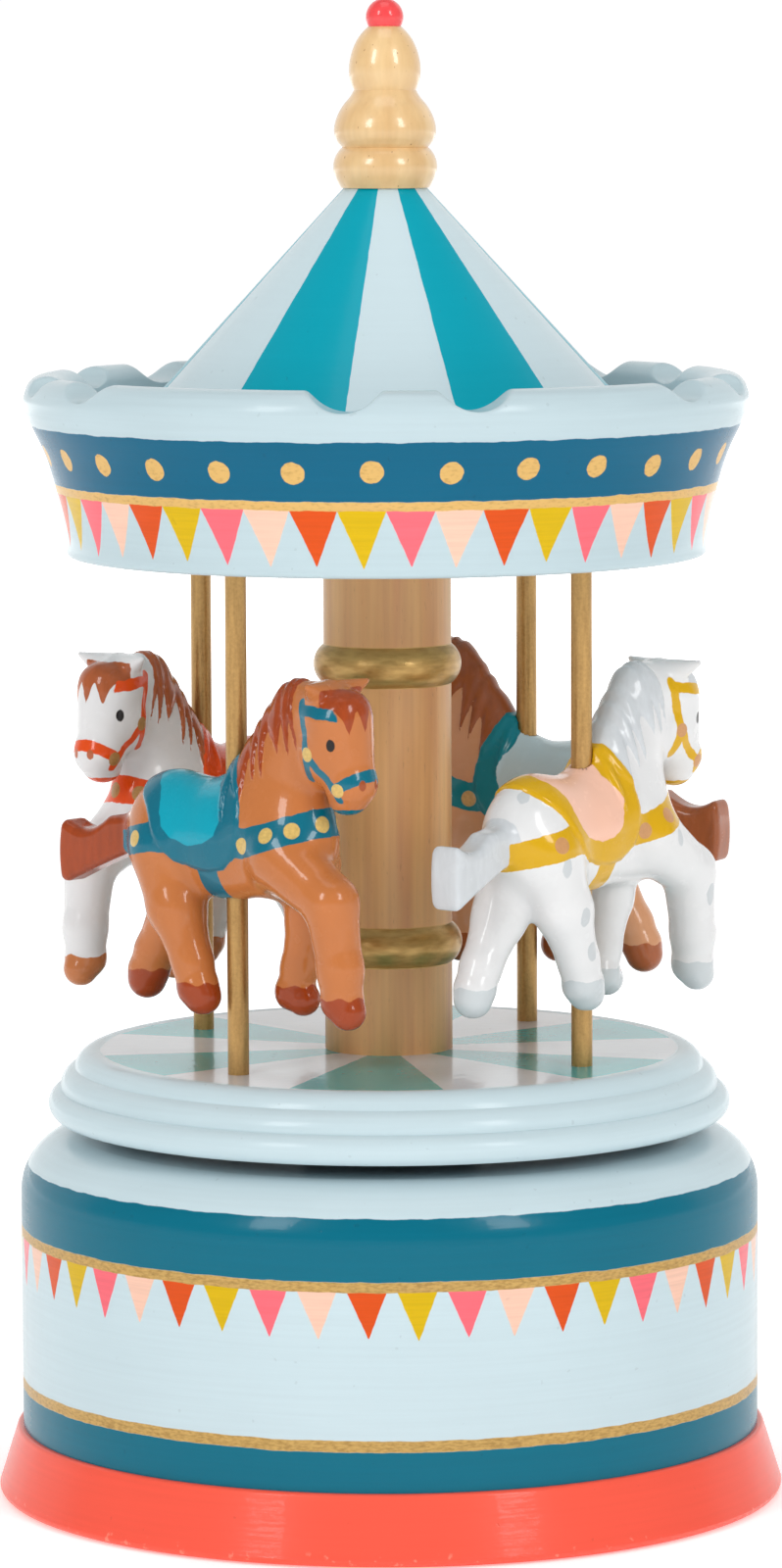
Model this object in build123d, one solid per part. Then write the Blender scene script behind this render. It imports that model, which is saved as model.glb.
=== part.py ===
"""Carousel music box: turned wooden drum, revolving platform with four horses, and a comb movement.

Millimetres, +Z up, origin at the centre of the base's underside. The movement hangs under the drum's
top; its arbor drives the platform, column, crown and roof, and a gear train down to an air-brake fan.
"""
from build123d import *
from math import cos, pi, radians, sin
import os

# ---- turned wooden body -------------------------------------------------------------------------
BASE_RADIUS = 55.0
BASE_TOP_RADIUS = 52.35
BASE_HEIGHT = 9.45
SPIGOT_RADIUS = 41.8
SPIGOT_TOP = 12.0
DRUM_RADIUS = 51.6
DRUM_TOP = 50.6
DRUM_ROUNDING = 8.0
CAVITY_RADIUS = 42.0
BASE_SCREW_CIRCLE = 46.9
BASE_SCREW_HOLE = 1.5
BASE_SCREW_TOP = 24.0
SINK_RADIUS = 3.2
SINK_DEPTH = 0.3
CAVITY_TOP = 43.0
ARBOR_HOLE_RADIUS = 8.5

PLATFORM_BOTTOM = 52.85
PLATFORM_TOP = 62.1
RECESS_RADIUS = 39.7
RECESS_TOP = 55.9

COLUMN_RADIUS = 8.9
COLUMN_TENON_RADIUS = 5.95
TENON_SLACK = 0.05
MORTISE_BOTTOM = 57.6
COLUMN_BEADS = [(74.3, 79.8), (113.3, 118.8)]
COLUMN_BEAD_RADIUS = 10.3

CROWN_BOTTOM = 131.2
CROWN_MORTISE_TOP = 137.7
CROWN_FLOOR = 150.0
CROWN_TOP = 156.4
CROWN_WALL_RADIUS = 44.2
CROWN_FLARE = [(44.5, 132.3), (44.7, 134.9), (45.6, 139.6), (47.2, 145.1), (49.5, 150.0), (50.3, 153.0)]
NOTCH_PAIR_ANGLES = [4, 66, 128, 182, 237, 293]
NOTCH_HALF_SPACING = 10.5
NOTCH_RADIUS = 5.5
NOTCH_DEPTH = 2.8

CONE_BOTTOM_RADIUS = 35.0
CONE_TOP = 182.0
CONE_TOP_RADIUS = 5.7
CONE_DOWEL_BOTTOM = 144.0
FINIAL_DOWEL_RADIUS = 3.0
FINIAL_DOWEL_BOTTOM = 174.6
FINIAL_TOP = 204.15
BALL_RADIUS = 2.6
BALL_CENTRE = 205.4

# ---- poles and horses ---------------------------------------------------------------------------
POLE_RADIUS = 1.45
POLE_CIRCLE = 32.25
POLE_TOP = 137.1
# name: pole azimuth from the front (-Y) towards +X, and the direction that the horse faces, in degrees
HORSES = {
    "front_left": (-39.5, -41.0),
    "front_right": (55.3, 49.3),
    "rear_right": (142.0, 154.0),
    "rear_left": (235.0, 228.0),
}

# ---- movement -----------------------------------------------------------------------------------
BED_THICKNESS = 2.0
BED_BOTTOM = CAVITY_TOP - BED_THICKNESS
BED_X = (-15.0, 36.0)
BED_Y = (-17.8, 20.6)
BED_SCREWS = [(-11.5, 13.0), (-11.5, -13.0), (33.2, -12.5)]
BED_SCREW_TOP = 48.0
BED_SCREW_RADIUS = 1.1
HOUSING_RADIUS = 11.5
HOUSING_BOTTOM = 31.0
HOUSING_WALL = 0.8
SPRING_INNER_RADIUS = 3.2
SPRING_TURNS = 5
SPRING_PITCH = 1.25
SPRING_THICKNESS = 0.5
ARBOR_RADIUS = 2.0
ARBOR_BOTTOM = 27.9
RUNNING_CLEARANCE = 0.05
HUB_RADIUS = 12.2
HUB_BOTTOM = 51.0
HUB_SCREW_CIRCLE = 8.6
HUB_SCREW_RADIUS = 0.9
HUB_SCREW_TOP = 60.1
HUB_SINK_RADIUS = 2.1
HUB_SINK_DEPTH = 1.6

GEAR_MODULE = 0.5
WHEEL_TEETH = 42
WHEEL_TOP = 30.7
WHEEL_ROOT = 29.5
WHEEL_TIP = 28.45
PINION_TEETH = 12
PINION_X = (9.8, 11.2)
CYLINDER_AXIS_Z = 25.9
CYLINDER_RADIUS = 6.5
CYLINDER_X = (14.5, 28.5)
CYLINDER_SHAFT_RADIUS = 0.8
CYLINDER_SHAFT_X = (8.8, 32.6)
PIN_RADIUS = 0.2
PIN_TIP_RADIUS = 7.0
TRACKS = 18
CYLINDER_GEAR_TEETH = 30
CYLINDER_GEAR_X = (29.1, 30.2)

COMB_Z = (25.5, 26.3)
COMB_TIP_Y = -7.2
COMB_HEEL_Y = -12.4
COMB_BACK_Y = -17.5
COMB_SCREWS = [(17.5, -15.4), (25.5, -15.4)]
COMB_SCREW_LENGTH = 5.8

GOVERNOR_TEETH = 8
GOVERNOR_CENTRES = 9.6
GOVERNOR_LIFT = 26.5
GOVERNOR_Y = GOVERNOR_CENTRES * cos(radians(GOVERNOR_LIFT))
GOVERNOR_Z = CYLINDER_AXIS_Z + GOVERNOR_CENTRES * sin(radians(GOVERNOR_LIFT))
GOVERNOR_SHAFT_RADIUS = 0.6
GOVERNOR_SHAFT_X = (26.9, 35.8)
WORM_MODULE = 0.4
WORM_WHEEL_TEETH = 20
WORM_WHEEL_X = (33.2, 34.0)
WORM_X = 33.6
WORM_PITCH_RADIUS = 1.2
WORM_Y = GOVERNOR_Y + WORM_MODULE * WORM_WHEEL_TEETH / 2 + WORM_PITCH_RADIUS + 0.05
WORM_TURNS = 4
WORM_PHASE = 90.0
FAN_SHAFT_RADIUS = 0.4
FAN_SHAFT_Z = (20.0, 40.6)
FAN_RADIUS = 4.5
FAN_Z = (21.2, 25.2)


def revolved(outline):
    """Solid of revolution about Z from the edges of a closed outline in the XZ plane."""
    return revolve(make_face(Plane.XZ * (Curve() + outline)), Axis.Z)


def disc(radius, bottom, top, x=0.0, y=0.0):
    """Upright cylinder between two heights."""
    return Pos(x, y, bottom) * Cylinder(radius, top - bottom, align=(Align.CENTER, Align.CENTER, Align.MIN))


def rod_x(radius, x_range, y, z):
    """Cylinder along X."""
    length = x_range[1] - x_range[0]
    return Pos(x_range[0], y, z) * Rot(0, 90, 0) * Cylinder(
        radius, length, align=(Align.CENTER, Align.CENTER, Align.MIN)
    )


def block(x_range, y_range, z_range):
    """Box between three pairs of coordinates."""
    size = [high - low for low, high in (x_range, y_range, z_range)]
    return Pos(x_range[0], y_range[0], z_range[0]) * Box(*size, align=(Align.MIN, Align.MIN, Align.MIN))


def polar(radius, azimuth):
    """Point on a circle; the azimuth runs from the front (-Y) towards +X."""
    return radius * sin(radians(azimuth)), -radius * cos(radians(azimuth))


def screw(x, y, head_bottom, head_radius, head_height, shank_radius, top, countersunk=False):
    """Screw driven upwards from below."""
    if countersunk:
        head = Pos(x, y, head_bottom) * Cone(
            head_radius, shank_radius, head_height, align=(Align.CENTER, Align.CENTER, Align.MIN)
        )
    else:
        head = disc(head_radius, head_bottom, head_bottom + head_height, x, y)
    slot = block((x - head_radius, x + head_radius), (y - 0.25, y + 0.25), (head_bottom, head_bottom + 0.6))
    return head + disc(shank_radius, head_bottom + head_height, top, x, y) - slot


# ---- base and drum ------------------------------------------------------------------------------
BASE_SCREWS = [polar(BASE_SCREW_CIRCLE, azimuth) for azimuth in (45, 135, 225, 315)]


def make_base_plate():
    edge = 1.0
    outline = [
        Line((0, 0), (BASE_RADIUS - edge, 0)),
        TangentArc((BASE_RADIUS - edge, 0), (BASE_RADIUS, edge), tangent=(1, 0)),
        Line((BASE_RADIUS, edge), (BASE_TOP_RADIUS + 0.1, BASE_HEIGHT - 0.4)),
        ThreePointArc(
            (BASE_TOP_RADIUS + 0.1, BASE_HEIGHT - 0.4),
            (BASE_TOP_RADIUS - 0.1, BASE_HEIGHT - 0.12),
            (BASE_TOP_RADIUS - 0.4, BASE_HEIGHT),
        ),
        Polyline(
            (BASE_TOP_RADIUS - 0.4, BASE_HEIGHT),
            (SPIGOT_RADIUS, BASE_HEIGHT),
            (SPIGOT_RADIUS, SPIGOT_TOP),
            (0, SPIGOT_TOP),
            (0, 0),
        ),
    ]
    plate = revolved(outline)
    for x, y in BASE_SCREWS:
        sink = Cone(SINK_RADIUS, BASE_SCREW_HOLE, 1.9, align=(Align.CENTER, Align.CENTER, Align.MIN))
        plate -= disc(BASE_SCREW_HOLE, 0, BASE_HEIGHT + 1, x, y)
        plate -= disc(SINK_RADIUS, 0, SINK_DEPTH, x, y)
        plate -= Pos(x, y, SINK_DEPTH) * sink
    return plate


def make_base_screws():
    return [
        screw(x, y, SINK_DEPTH + 0.05, 3.05, 1.8, 1.45, BASE_SCREW_TOP, countersunk=True)
        for x, y in BASE_SCREWS
    ]


def make_drum():
    shoulder = DRUM_RADIUS - DRUM_ROUNDING
    outline = [
        Line((CAVITY_RADIUS, BASE_HEIGHT), (DRUM_RADIUS, BASE_HEIGHT)),
        Line((DRUM_RADIUS, BASE_HEIGHT), (DRUM_RADIUS, DRUM_TOP - DRUM_ROUNDING)),
        TangentArc((DRUM_RADIUS, DRUM_TOP - DRUM_ROUNDING), (shoulder, DRUM_TOP), tangent=(0, 1)),
        Polyline(
            (shoulder, DRUM_TOP),
            (ARBOR_HOLE_RADIUS, DRUM_TOP),
            (ARBOR_HOLE_RADIUS, CAVITY_TOP),
            (CAVITY_RADIUS, CAVITY_TOP),
            (CAVITY_RADIUS, BASE_HEIGHT),
        ),
    ]
    drum = revolved(outline)
    for x, y in BASE_SCREWS:
        drum -= disc(BASE_SCREW_HOLE, BASE_HEIGHT, BASE_SCREW_TOP + 0.5, x, y)
    for x, y in BED_SCREWS:
        drum -= disc(BED_SCREW_RADIUS + 0.05, CAVITY_TOP, BED_SCREW_TOP + 0.5, x, y)
    return drum


# ---- rotor: platform, column, crown, roof -------------------------------------------------------
POLE_POINTS = {name: polar(POLE_CIRCLE, azimuth) for name, (azimuth, _) in HORSES.items()}
HUB_SCREWS = [polar(HUB_SCREW_CIRCLE, azimuth) for azimuth in (0, 120, 240)]


def make_hub():
    hub = disc(HUB_RADIUS, HUB_BOTTOM, RECESS_TOP)
    rim = hub.edges().filter_by(GeomType.CIRCLE).group_by(Axis.Z)[0]
    hub = fillet(rim, 0.5)
    hub -= disc(ARBOR_RADIUS + 0.02, HUB_BOTTOM, RECESS_TOP)
    for x, y in HUB_SCREWS:
        hub -= disc(HUB_SCREW_RADIUS + 0.05, HUB_BOTTOM, RECESS_TOP, x, y)
        hub -= disc(HUB_SINK_RADIUS, HUB_BOTTOM, HUB_BOTTOM + HUB_SINK_DEPTH, x, y)
    return hub


def make_hub_screws():
    return [screw(x, y, HUB_BOTTOM + 0.2, 1.9, 1.4, HUB_SCREW_RADIUS, HUB_SCREW_TOP) for x, y in HUB_SCREWS]


def make_platform():
    rim_foot = (46.4, PLATFORM_BOTTOM)
    low_groove = (45.95, 56.9)
    high_groove = (44.0, 59.9)
    disc_edge = (40.5, PLATFORM_TOP)
    outline = [
        Line((RECESS_RADIUS, PLATFORM_BOTTOM), rim_foot),
        ThreePointArc(rim_foot, (47.65, 54.6), low_groove),
        ThreePointArc(low_groove, (45.5, 58.7), high_groove),
        ThreePointArc(high_groove, (42.9, 61.6), disc_edge),
        Polyline(
            disc_edge,
            (0, PLATFORM_TOP),
            (0, RECESS_TOP),
            (RECESS_RADIUS, RECESS_TOP),
            (RECESS_RADIUS, PLATFORM_BOTTOM),
        ),
    ]
    platform = revolved(outline)
    platform -= disc(COLUMN_TENON_RADIUS + TENON_SLACK, MORTISE_BOTTOM, PLATFORM_TOP)
    for x, y in POLE_POINTS.values():
        platform -= disc(POLE_RADIUS + 0.02, MORTISE_BOTTOM, PLATFORM_TOP, x, y)
    for x, y in HUB_SCREWS:
        platform -= disc(HUB_SCREW_RADIUS + 0.05, RECESS_TOP, HUB_SCREW_TOP + 0.5, x, y)
    return platform


def make_column():
    points = [(0, MORTISE_BOTTOM + 0.1), (COLUMN_TENON_RADIUS, MORTISE_BOTTOM + 0.1)]
    points += [(COLUMN_TENON_RADIUS, PLATFORM_TOP), (COLUMN_RADIUS, PLATFORM_TOP)]
    outline = [Polyline(*points)]
    start = points[-1]
    for low, high in COLUMN_BEADS:
        outline.append(Line(start, (COLUMN_RADIUS, low)))
        middle = (COLUMN_BEAD_RADIUS, (low + high) / 2)
        outline.append(ThreePointArc((COLUMN_RADIUS, low), middle, (COLUMN_RADIUS, high)))
        start = (COLUMN_RADIUS, high)
    outline.append(
        Polyline(
            start,
            (COLUMN_RADIUS, CROWN_BOTTOM),
            (COLUMN_TENON_RADIUS, CROWN_BOTTOM),
            (COLUMN_TENON_RADIUS, CROWN_MORTISE_TOP - 0.1),
            (0, CROWN_MORTISE_TOP - 0.1),
            (0, MORTISE_BOTTOM + 0.1),
        )
    )
    return revolved(outline)


def make_crown():
    edge = 1.1
    foot = (CROWN_FLARE[0][0] - edge, CROWN_BOTTOM)
    rim_outer = CROWN_FLARE[-1]
    rim_top = (47.2, CROWN_TOP)
    rim_inner = (CROWN_WALL_RADIUS, 154.5)
    outline = [
        Line((0, CROWN_BOTTOM), foot),
        TangentArc(foot, CROWN_FLARE[0], tangent=(1, 0)),
        Spline(*CROWN_FLARE, tangents=[(0, 1), (0, 1)]),
        TangentArc(rim_outer, rim_top, tangent=(0, 1)),
        ThreePointArc(rim_top, (45.2, 155.8), rim_inner),
        Polyline(rim_inner, (CROWN_WALL_RADIUS, CROWN_FLOOR), (0, CROWN_FLOOR), (0, CROWN_BOTTOM)),
    ]
    crown = revolved(outline)
    cutter_z = CROWN_TOP - NOTCH_DEPTH + NOTCH_RADIUS
    for pair_angle in NOTCH_PAIR_ANGLES:
        for side in (-1, 1):
            azimuth = pair_angle + side * NOTCH_HALF_SPACING
            cutter = rod_x(NOTCH_RADIUS, (40.0, 56.0), 0, cutter_z)
            crown -= Rot(0, 0, azimuth - 90) * cutter
    crown -= disc(COLUMN_TENON_RADIUS + TENON_SLACK, CROWN_BOTTOM, CROWN_MORTISE_TOP)
    crown -= disc(COLUMN_TENON_RADIUS + TENON_SLACK, CONE_DOWEL_BOTTOM - 0.1, CROWN_FLOOR)
    for x, y in POLE_POINTS.values():
        crown -= disc(POLE_RADIUS + 0.02, CROWN_BOTTOM, POLE_TOP + 0.1, x, y)
    return crown


def make_roof_cone():
    outline = Polyline(
        (0, CONE_DOWEL_BOTTOM),
        (COLUMN_TENON_RADIUS, CONE_DOWEL_BOTTOM),
        (COLUMN_TENON_RADIUS, CROWN_FLOOR),
        (CONE_BOTTOM_RADIUS, CROWN_FLOOR),
        (CONE_TOP_RADIUS, CONE_TOP),
        (0, CONE_TOP),
        (0, CONE_DOWEL_BOTTOM),
    )
    return revolved(outline) - disc(FINIAL_DOWEL_RADIUS + 0.03, FINIAL_DOWEL_BOTTOM - 0.2, CONE_TOP)


def make_finial():
    foot = (6.15, CONE_TOP)
    low_waist = (5.95, 187.55)
    high_waist = (4.3, 195.4)
    shoulder = (2.25, FINIAL_TOP)
    outline = [
        Polyline((0, FINIAL_DOWEL_BOTTOM), (FINIAL_DOWEL_RADIUS, FINIAL_DOWEL_BOTTOM),
                 (FINIAL_DOWEL_RADIUS, CONE_TOP), foot),
        Spline(foot, (7.18, 184.7), low_waist, tangents=[(0.6, 1), (-1, 0.9)]),
        Spline(low_waist, (7.05, 189.7), (5.5, 193.7), high_waist, tangents=[(1, 0.9), (-0.5, 1)]),
        Spline(high_waist, (4.95, 198.35), (4.0, 202.0), shoulder, tangents=[(0.5, 1), (-1, 0.9)]),
        Polyline(shoulder, (0, FINIAL_TOP), (0, FINIAL_DOWEL_BOTTOM)),
    ]
    return revolved(outline) - disc(1.03, 200.6, FINIAL_TOP)


def make_finial_ball():
    ball = Pos(0, 0, BALL_CENTRE) * Sphere(BALL_RADIUS)
    ball -= disc(BALL_RADIUS, FINIAL_TOP - 2, FINIAL_TOP)
    return ball + disc(1.0, 200.8, FINIAL_TOP + 0.5)


# ---- horses, modelled with the pole on the Z axis, facing +X, their right side towards -Y --------
# stations along the barrel: x, centre height, half-width, half-height
BARREL = [
    (-18.4, 94.5, 2.0, 2.4), (-16.6, 94.3, 4.9, 6.1), (-10.9, 93.9, 7.0, 8.7), (-2.0, 94.3, 6.8, 8.5),
    (6.9, 94.4, 6.8, 8.6), (12.9, 95.1, 6.1, 7.8), (16.0, 95.9, 4.2, 5.3), (17.2, 96.3, 1.8, 2.4),
]
# stations up the neck: x, height, half-length, half-width, forward tilt of the section in degrees
NECK = [
    (7.5, 95.5, 8.3, 5.5, -8), (9.1, 103.0, 7.1, 4.8, -12),
    (11.9, 109.5, 6.1, 4.4, -14), (14.4, 115.5, 3.4, 3.2, -14),
]
# stations down the head: x, height, half-length, half-width
HEAD = [
    (18.0, 116.5, 2.2, 2.6), (18.5, 114.1, 4.3, 4.5), (19.2, 109.5, 4.6, 4.7),
    (20.0, 105.1, 4.1, 4.2), (20.4, 101.9, 3.5, 3.6), (20.2, 99.7, 1.8, 1.9),
]
# legs: joint centres from the body down, each with a radius
LEGS = [
    [(11.9, -3.0, 91.6, 4.8), (20.4, -3.0, 87.8, 3.3), (21.2, -2.6, 76.6, 2.8), (21.4, -2.6, 73.3, 2.9)],
    [(10.5, 3.2, 90.6, 4.5), (10.3, 3.2, 83.6, 3.1), (8.1, 3.1, 76.1, 2.6), (7.7, 3.1, 73.2, 2.8)],
    [(-10.9, -3.2, 91.6, 5.1), (-6.9, -3.4, 83.6, 3.5), (-4.4, -3.6, 76.6, 2.9), (-3.8, -3.6, 73.3, 2.9)],
    [(-11.4, 3.0, 90.6, 4.8), (-14.3, 3.0, 83.1, 3.3), (-18.4, 3.0, 76.6, 2.8), (-19.6, 3.0, 73.9, 2.9)],
]
# stations along the tail: x, y, centre height, width, height
TAIL = [
    (-13.8, 0.0, 94.5, 4.9, 5.9), (-18.8, -0.2, 94.1, 4.5, 5.9),
    (-24.7, -0.6, 91.8, 4.5, 7.1), (-30.3, -1.0, 91.4, 5.0, 8.5),
]
EAR_TIP = (18.2, 6.0, 116.7)
EAR_ROOT = (17.4, 2.4, 114.7)


def capsule(first, second):
    """Tapered limb with round ends between two (x, y, z, radius) joints."""
    start = Vector(*first[:3])
    end = Vector(*second[:3])
    axis = end - start
    upright = (Align.CENTER, Align.CENTER, Align.MIN)
    if first[3] == second[3]:
        limb = Cylinder(first[3], axis.length, align=upright)
    else:
        limb = Cone(first[3], second[3], axis.length, align=upright)
    caps = Pos(*start) * Sphere(first[3]) + Pos(*end) * Sphere(second[3])
    return Plane(origin=start, z_dir=axis) * limb + caps


def make_horse():
    barrel = loft([
        Plane(origin=(x, 0, z), x_dir=(0, 1, 0), z_dir=(1, 0, 0)) * Ellipse(width, height)
        for x, z, width, height in BARREL
    ])
    neck = loft([
        Pos(x, 0, z) * Rot(0, tilt, 0) * Ellipse(length, width) for x, z, length, width, tilt in NECK
    ])
    head = loft([Pos(x, 0, z) * Ellipse(length, width) for x, z, length, width in HEAD])
    tail = loft([
        Plane(origin=(x, y, z), x_dir=(0, 1, 0), z_dir=(1, 0, 0)) * RectangleRounded(width, height, 1.6)
        for x, y, z, width, height in TAIL
    ])
    horse = barrel + neck + head + tail
    for leg in LEGS:
        for upper, lower in zip(leg, leg[1:]):
            horse += capsule(upper, lower)
    for side in (-1, 1):
        tip = (EAR_TIP[0], side * EAR_TIP[1], EAR_TIP[2], 0.45)
        root = (EAR_ROOT[0], side * EAR_ROOT[1], EAR_ROOT[2], 1.7)
        horse += capsule(root, tip)
    return horse - disc(POLE_RADIUS + 0.05, 80, 110)


# ---- movement -----------------------------------------------------------------------------------
def spur_gear(teeth, module, width, tip=0.8, root=1.3, thickness=0.38, tip_thickness=0.2):
    """Gear blank with straight-flanked teeth, centred on Z from z=0; heights are in modules."""
    pitch_radius = module * teeth / 2
    pitch_angle = 2 * pi / teeth
    points = []
    for tooth in range(teeth):
        centre = tooth * pitch_angle
        for radius, share in (
            (pitch_radius - root * module, -thickness * 0.62),
            (pitch_radius + tip * module, -tip_thickness * 0.62),
            (pitch_radius + tip * module, tip_thickness * 0.62),
            (pitch_radius - root * module, thickness * 0.62),
        ):
            angle = centre + share * pitch_angle
            points.append((radius * cos(angle), radius * sin(angle)))
    return extrude(make_face(Polyline(*points, close=True)), width)


def along_x(gear, x, y, z, direction):
    """Lay a gear made on Z along X, its first tooth pointing at an angle from +Y towards +Z."""
    return Pos(x, y, z) * Rot(direction + 90, 0, 0) * Rot(0, 90, 0) * gear


def make_bedplate():
    width = BED_X[1] - BED_X[0]
    depth = BED_Y[1] - BED_Y[0]
    centre = ((BED_X[0] + BED_X[1]) / 2, (BED_Y[0] + BED_Y[1]) / 2)
    plate = Pos(*centre, BED_BOTTOM) * extrude(RectangleRounded(width, depth, 5.0), BED_THICKNESS)
    comb_boss = block(CYLINDER_X, (COMB_BACK_Y, COMB_HEEL_Y - 0.9), (COMB_Z[1], BED_BOTTOM + 0.5))
    plate += comb_boss
    plate -= disc(ARBOR_RADIUS + RUNNING_CLEARANCE, BED_BOTTOM, CAVITY_TOP)
    for x, y in BED_SCREWS:
        plate -= disc(BED_SCREW_RADIUS + 0.2, BED_BOTTOM, CAVITY_TOP, x, y)
    for x, y in COMB_SCREWS:
        plate -= disc(0.85, COMB_Z[1], COMB_Z[1] + COMB_SCREW_LENGTH + 0.4, x, y)
    return plate


def make_movement_screws():
    return [screw(x, y, BED_BOTTOM - 1.4, 2.4, 1.4, BED_SCREW_RADIUS, BED_SCREW_TOP) for x, y in BED_SCREWS]


def make_spring_housing():
    cup = disc(HOUSING_RADIUS, HOUSING_BOTTOM, BED_BOTTOM)
    cup -= disc(HOUSING_RADIUS - HOUSING_WALL, HOUSING_BOTTOM + HOUSING_WALL, BED_BOTTOM)
    return cup - disc(ARBOR_RADIUS + RUNNING_CLEARANCE, HOUSING_BOTTOM, HOUSING_BOTTOM + HOUSING_WALL)


def make_mainspring():
    """Flat spiral made of half circles whose centres alternate, so that each runs into the next."""
    shift = SPRING_PITCH / 2
    half = SPRING_THICKNESS / 2
    inner = []
    outer = []
    radius = SPRING_INNER_RADIUS
    for turn in range(2 * SPRING_TURNS):
        centre = 0.0 if turn % 2 == 0 else shift
        side = 1 if turn % 2 == 0 else -1
        for offset, arcs in ((-half, inner), (half, outer)):
            reach = radius + offset
            points = [(centre + side * reach, 0), (centre, side * reach), (centre - side * reach, 0)]
            arcs.append(ThreePointArc(*points))
        radius += shift
    ends = [Line(inner[0] @ 0, outer[0] @ 0), Line(inner[-1] @ 1, outer[-1] @ 1)]
    face = make_face(inner + outer + ends)
    return Pos(-shift / 2, 0, HOUSING_BOTTOM + HOUSING_WALL + 0.6) * extrude(face, 7.6)


def make_winding_arbor():
    arbor = disc(ARBOR_RADIUS, ARBOR_BOTTOM, RECESS_TOP - 0.1)
    collar = disc(3.0, CAVITY_TOP + 0.05, CAVITY_TOP + 1.6)
    return arbor + collar


def make_drive_wheel():
    wheel = disc(11.3, WHEEL_ROOT, WHEEL_TOP) + disc(4.2, 28.3, WHEEL_TOP)
    root_half = 0.38
    tip_half = 0.16
    profile = Plane.YZ * Polyline(
        (-root_half, WHEEL_ROOT + 0.1),
        (-tip_half, WHEEL_TIP),
        (tip_half, WHEEL_TIP),
        (root_half, WHEEL_ROOT + 0.1),
        close=True,
    )
    tooth = Pos(9.7, 0, 0) * extrude(make_face(profile), 1.55, dir=(1, 0, 0))
    for number in range(WHEEL_TEETH):
        wheel += Rot(0, 0, number * 360 / WHEEL_TEETH) * tooth
    return wheel - disc(ARBOR_RADIUS + 0.02, 28.0, WHEEL_TOP)


def make_cylinder_shaft():
    return rod_x(CYLINDER_SHAFT_RADIUS, CYLINDER_SHAFT_X, 0, CYLINDER_AXIS_Z)


def make_cylinder_pinion():
    width = PINION_X[1] - PINION_X[0]
    gear = spur_gear(PINION_TEETH, GEAR_MODULE, width) - Cylinder(CYLINDER_SHAFT_RADIUS + 0.02, 3 * width)
    gap_upwards = 90 + 180 / PINION_TEETH
    return along_x(gear, PINION_X[0], 0, CYLINDER_AXIS_Z, gap_upwards)


def make_cylinder_gear():
    width = CYLINDER_GEAR_X[1] - CYLINDER_GEAR_X[0]
    gear = spur_gear(CYLINDER_GEAR_TEETH, GEAR_MODULE, width)
    gear -= Cylinder(CYLINDER_SHAFT_RADIUS + 0.02, 3 * width)
    return along_x(gear, CYLINDER_GEAR_X[0], 0, CYLINDER_AXIS_Z, GOVERNOR_LIFT)


def make_tune_cylinder():
    barrel = rod_x(CYLINDER_RADIUS, CYLINDER_X, 0, CYLINDER_AXIS_Z)
    barrel -= rod_x(5.7, (CYLINDER_X[0] + 1, CYLINDER_X[1] - 1), 0, CYLINDER_AXIS_Z)
    barrel -= rod_x(CYLINDER_SHAFT_RADIUS + 0.02, CYLINDER_X, 0, CYLINDER_AXIS_Z)
    for spoke in range(4):
        turn = radians(90 * spoke)
        barrel -= rod_x(1.5, CYLINDER_X, 3.4 * cos(turn), CYLINDER_AXIS_Z + 3.4 * sin(turn))
    pin_length = PIN_TIP_RADIUS - CYLINDER_RADIUS + 0.3
    pin = Pos(0, 0, CYLINDER_RADIUS - 0.3) * Cylinder(
        PIN_RADIUS, pin_length, align=(Align.CENTER, Align.CENTER, Align.MIN)
    )
    spacing = (CYLINDER_X[1] - CYLINDER_X[0]) / TRACKS
    for track in range(TRACKS):
        x = CYLINDER_X[0] + (track + 0.5) * spacing
        for note in range(3 + track % 2):
            turn = (track * 67 + note * (97 + 5 * (track % 3))) % 360
            barrel += Pos(x, 0, CYLINDER_AXIS_Z) * Rot(turn, 0, 0) * pin
    return barrel


def make_comb():
    comb = block(CYLINDER_X, (COMB_BACK_Y, COMB_TIP_Y), COMB_Z)
    comb -= block(CYLINDER_X, (COMB_HEEL_Y, COMB_TIP_Y), (COMB_Z[0], COMB_Z[0] + 0.35))
    spacing = (CYLINDER_X[1] - CYLINDER_X[0]) / TRACKS
    for gap in range(1, TRACKS):
        x = CYLINDER_X[0] + gap * spacing
        comb -= block((x - 0.14, x + 0.14), (COMB_HEEL_Y - 0.4, COMB_TIP_Y), (COMB_Z[0] - 1, COMB_Z[1] + 1))
    for x, y in COMB_SCREWS:
        comb -= disc(0.9, COMB_Z[0], COMB_Z[1], x, y)
    return comb


def make_comb_screws():
    top = COMB_Z[1] + COMB_SCREW_LENGTH
    return [screw(x, y, COMB_Z[0] - 1.2, 1.7, 1.2, 0.8, top) for x, y in COMB_SCREWS]


def make_cylinder_bracket(x_range):
    """Arm that hangs from the bedplate and carries one end of the cylinder's shaft."""
    arm = block(x_range, (-2.6, 2.6), (CYLINDER_AXIS_Z, BED_BOTTOM))
    arm += rod_x(2.6, x_range, 0, CYLINDER_AXIS_Z)
    return arm - rod_x(CYLINDER_SHAFT_RADIUS + RUNNING_CLEARANCE, x_range, 0, CYLINDER_AXIS_Z)


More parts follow.
